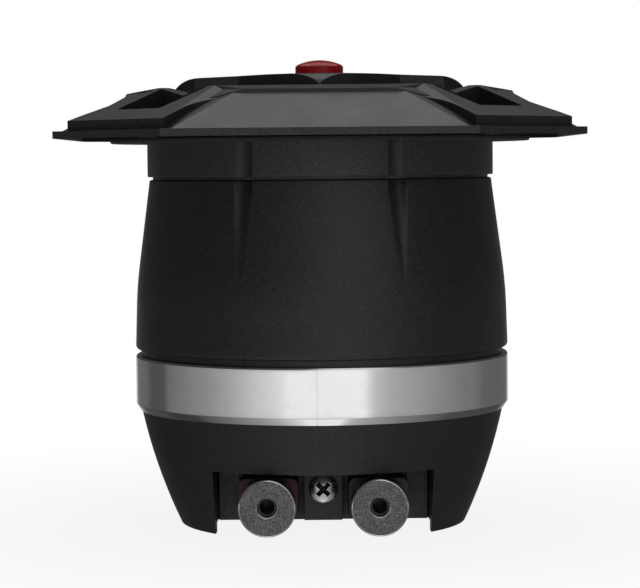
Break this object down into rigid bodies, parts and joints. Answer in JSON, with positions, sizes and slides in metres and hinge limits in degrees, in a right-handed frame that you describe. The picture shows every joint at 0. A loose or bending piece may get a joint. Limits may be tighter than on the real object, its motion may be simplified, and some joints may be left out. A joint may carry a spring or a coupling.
{
  "type": "horn super tweeter",
  "caption": "Horn super tweeter with a square flange, a cross over the mouth, a chromed trim ring and recessed binding posts.",
  "frame": {"origin": "on the speaker's axis, in the plane of the rear rim that it stands on", "axes": "+Z along the axis, out of the horn's mouth; -Y towards the binding posts; +X towards the black (negative) post"},
  "size_m": [0.145, 0.145, 0.1328],
  "materials": {
    "horn_black": "fine spark-eroded satin black",
    "cross_black": "satin black",
    "plug_black": "satin black",
    "barrel_black": "spark-eroded matt black",
    "cover_black": "smooth satin black",
    "board_black": "smooth black",
    "gasket_foam": "closed-cell foam",
    "chrome_trim": "mirror chrome plating",
    "badge_red": "glossy deep red",
    "knob_chrome": "chrome plated brass, lightly turned face",
    "stud_nickel": "nickel plated brass",
    "collar_red": "dark red insulator",
    "collar_black": "black insulator",
    "brass_parts": "plain brass",
    "screw_steel": "zinc plated steel",
    "lead_red": "insulated wire, red",
    "lead_black": "insulated wire, black",
    "motor_steel": "zinc passivated steel",
    "ferrite": "ground ferrite ceramic",
    "felt": "felt",
    "dome_metal": "thin formed metal dome",
    "former_film": "amber film",
    "copper_coil": "enamelled wire",
    "frame_plastic": "glass-filled plastic",
    "surround_cloth": "treated cloth"
  },
  "bodies": {
    "housing": {"horn_flange": "horn_black", "front_cross": "cross_black", "phase_plug": "plug_black", "barrel_shell": "barrel_black", "rear_cover": "cover_black", "terminal_board": "board_black", "seat_gasket": "gasket_foam", "throat_gasket": "gasket_foam", "trim_ring": "chrome_trim", "badge": "badge_red", "post_stud_positive": "stud_nickel", "post_stud_negative": "stud_nickel", "post_collar_positive": "collar_red", "post_collar_negative": "collar_black", "post_nuts": "brass_parts", "solder_lug_positive": "brass_parts", "solder_lug_negative": "brass_parts", "terminal_screw": "screw_steel", "cover_screws": "screw_steel", "motor_screws": "screw_steel", "plug_screw": "screw_steel", "lead_wire_positive": "lead_red", "lead_wire_negative": "lead_black", "yoke": "motor_steel", "top_plate": "motor_steel", "magnet": "ferrite", "damping_pad": "felt", "diaphragm_frame": "frame_plastic", "surround": "surround_cloth"},
    "diaphragm_assembly": {"diaphragm": "dome_metal", "coil_former": "former_film", "voice_coil": "copper_coil"},
    "positive_washer": {"clamp_washer_positive": "knob_chrome"},
    "positive_knob": {"knob_positive": "knob_chrome"},
    "negative_washer": {"clamp_washer_negative": "knob_chrome"},
    "negative_knob": {"knob_negative": "knob_chrome"}
  },
  "joints": [
    {"name": "diaphragm_travel", "type": "slide", "parent": "housing", "child": "diaphragm_assembly", "axis": [0, 0, 1], "range_m": [-0.0003, 0.0003], "stiffness_N_per_m": 1500},
    {"name": "positive_washer_slide", "type": "slide", "parent": "housing", "child": "positive_washer", "axis": [0, -1, 0], "range_m": [0, 0.004]},
    {"name": "positive_knob_turn", "type": "hinge", "parent": "positive_washer", "child": "positive_knob", "pos_m": [-0.0153, -0.043, 0.0101], "axis": [0, -1, 0], "range_deg": [0, 1440]},
    {"name": "negative_washer_slide", "type": "slide", "parent": "housing", "child": "negative_washer", "axis": [0, -1, 0], "range_m": [0, 0.004]},
    {"name": "negative_knob_turn", "type": "hinge", "parent": "negative_washer", "child": "negative_knob", "pos_m": [0.0153, -0.043, 0.0101], "axis": [0, -1, 0], "range_deg": [0, 1440]}
  ],
  "couplings": [
    {"joint": "positive_washer_slide", "follows": "positive_knob_turn", "m_per_rad": 0.00015915},
    {"joint": "negative_washer_slide", "follows": "negative_knob_turn", "m_per_rad": 0.00015915}
  ]
}
